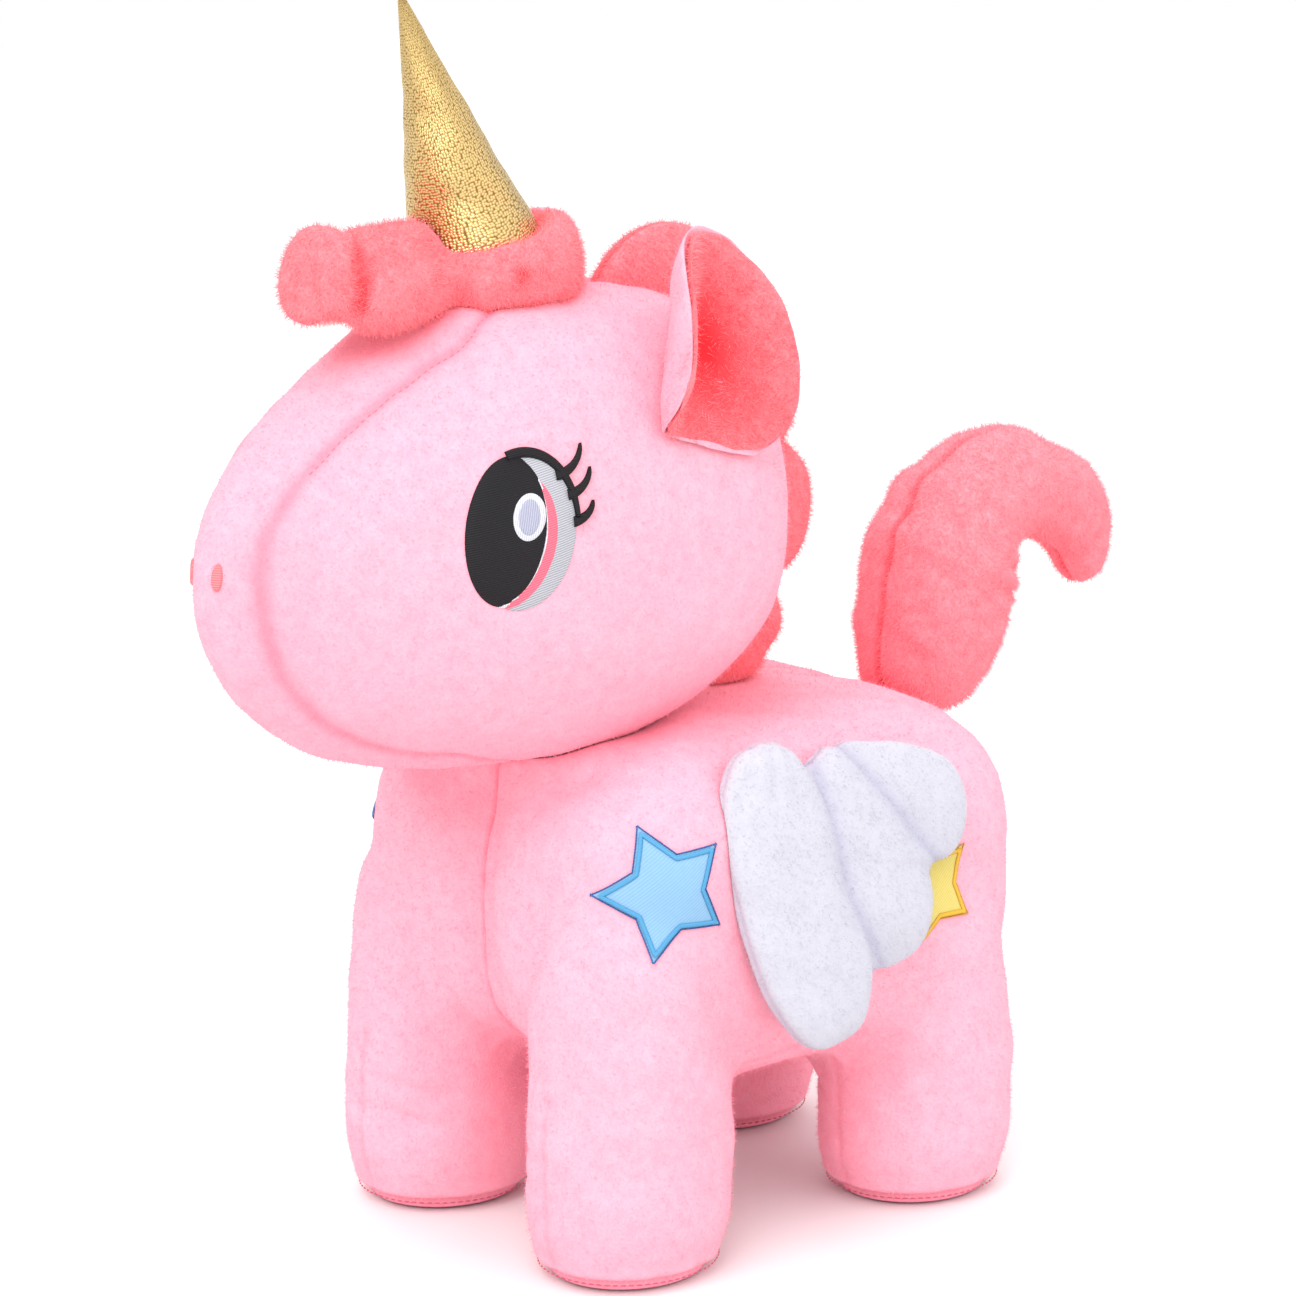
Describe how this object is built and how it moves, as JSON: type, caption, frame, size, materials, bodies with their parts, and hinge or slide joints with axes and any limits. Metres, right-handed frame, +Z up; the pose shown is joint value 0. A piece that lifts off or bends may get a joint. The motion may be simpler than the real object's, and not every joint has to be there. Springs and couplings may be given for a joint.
{
  "type": "plush unicorn",
  "caption": "Stuffed plush unicorn that stands on short legs, with a scalloped mane, a curled tail, padded wings, appliqued stars and a soft foil horn.",
  "frame": {"origin": "middle of the bounding box on the ground the soles stand on", "axes": "+Z up, -Y towards the nose, +X towards the toy's left side"},
  "size_m": [0.1886, 0.3812, 0.4011],
  "materials": {
    "light_pink_plush": "short pile polyester plush, matt",
    "coral_plush": "longer pile polyester plush, matt",
    "white_plush": "short pile plush, matt, with a faint lilac cast",
    "fibre_fill": "loose polyester fibre",
    "gold_foil_knit": "knit with a metallic foil print, glossy",
    "blue_applique": "flat woven polyester",
    "blue_satin_stitch": "satin stitch, slight sheen",
    "yellow_applique": "flat woven polyester",
    "gold_satin_stitch": "satin stitch, slight sheen",
    "black_thread": "satin stitch, slight sheen",
    "pink_thread": "satin stitch, slight sheen",
    "grey_thread": "satin stitch, slight sheen",
    "white_thread": "satin stitch, slight sheen",
    "salmon_thread": "satin stitch, slight sheen"
  },
  "bodies": {
    "body": {"body_side_left": "light_pink_plush", "body_side_right": "light_pink_plush", "belly_panel": "light_pink_plush", "body_fill": "fibre_fill", "leg_fill_front_left": "fibre_fill", "leg_fill_front_right": "fibre_fill", "leg_fill_rear_left": "fibre_fill", "leg_fill_rear_right": "fibre_fill", "sole_front_left": "light_pink_plush", "sole_front_right": "light_pink_plush", "sole_rear_left": "light_pink_plush", "sole_rear_right": "light_pink_plush", "star_blue_left": "blue_applique", "star_blue_right": "blue_applique", "star_blue_border_left": "blue_satin_stitch", "star_blue_border_right": "blue_satin_stitch", "star_yellow_left": "yellow_applique", "star_yellow_right": "yellow_applique", "star_yellow_border_left": "gold_satin_stitch", "star_yellow_border_right": "gold_satin_stitch"},
    "head": {"head_side_left": "light_pink_plush", "head_side_right": "light_pink_plush", "face_panel": "light_pink_plush", "head_fill": "fibre_fill", "eye_pupil_left": "black_thread", "eye_pupil_right": "black_thread", "eye_pink_ring_left": "pink_thread", "eye_pink_ring_right": "pink_thread", "eye_grey_ring_left": "grey_thread", "eye_grey_ring_right": "grey_thread", "eye_shine_left": "white_thread", "eye_shine_right": "white_thread", "eye_lashes_left": "black_thread", "eye_lashes_right": "black_thread", "nostril_left": "salmon_thread", "nostril_right": "salmon_thread", "forelock_wrap": "coral_plush", "forelock_tuft": "coral_plush", "mane_lobe_1": "coral_plush", "mane_lobe_2": "coral_plush", "mane_lobe_3": "coral_plush", "mane_lobe_4": "coral_plush"},
    "horn": {"horn_cover": "gold_foil_knit", "horn_fill": "fibre_fill"},
    "ear_left": {"ear_outer_left": "light_pink_plush", "ear_inner_left": "coral_plush"},
    "ear_right": {"ear_outer_right": "light_pink_plush", "ear_inner_right": "coral_plush"},
    "tail": {"tail_cover_left": "coral_plush", "tail_cover_right": "coral_plush", "tail_fill": "fibre_fill"},
    "wing_left": {"wing_front_left": "white_plush", "wing_back_left": "white_plush", "wing_fill_left": "fibre_fill"},
    "wing_right": {"wing_front_right": "white_plush", "wing_back_right": "white_plush", "wing_fill_right": "fibre_fill"}
  },
  "joints": [
    {"name": "head_turn", "type": "hinge", "parent": "body", "child": "head", "pos_m": [0, -0.0416, 0.234], "axis": [0, 0, 1], "range_deg": [-10, 10], "stiffness_Nm_per_rad": 2},
    {"name": "horn_sway", "type": "hinge", "parent": "head", "child": "horn", "pos_m": [0, -0.0826, 0.305], "axis": [1, 0, 0], "range_deg": [-6, 6], "stiffness_Nm_per_rad": 0.6},
    {"name": "ear_fold_left", "type": "hinge", "parent": "head", "child": "ear_left", "pos_m": [0.037, -0.0526, 0.283], "axis": [0.1007, 0.453, -0.8858], "range_deg": [-5, 12], "stiffness_Nm_per_rad": 0.1},
    {"name": "ear_fold_right", "type": "hinge", "parent": "head", "child": "ear_right", "pos_m": [-0.037, -0.0526, 0.283], "axis": [0.1007, -0.453, 0.8858], "range_deg": [-5, 12], "stiffness_Nm_per_rad": 0.1},
    {"name": "tail_wag", "type": "hinge", "parent": "body", "child": "tail", "pos_m": [0, 0.10195, 0.1673], "axis": [0, 0, 1], "range_deg": [-20, 20], "stiffness_Nm_per_rad": 0.5},
    {"name": "wing_lift_left", "type": "hinge", "parent": "body", "child": "wing_left", "pos_m": [0.069, -0.0016, 0.166], "axis": [0, -1, 0], "range_deg": [0, 70]},
    {"name": "wing_lift_right", "type": "hinge", "parent": "body", "child": "wing_right", "pos_m": [-0.069, -0.0016, 0.166], "axis": [0, 1, 0], "range_deg": [0, 70]}
  ]
}
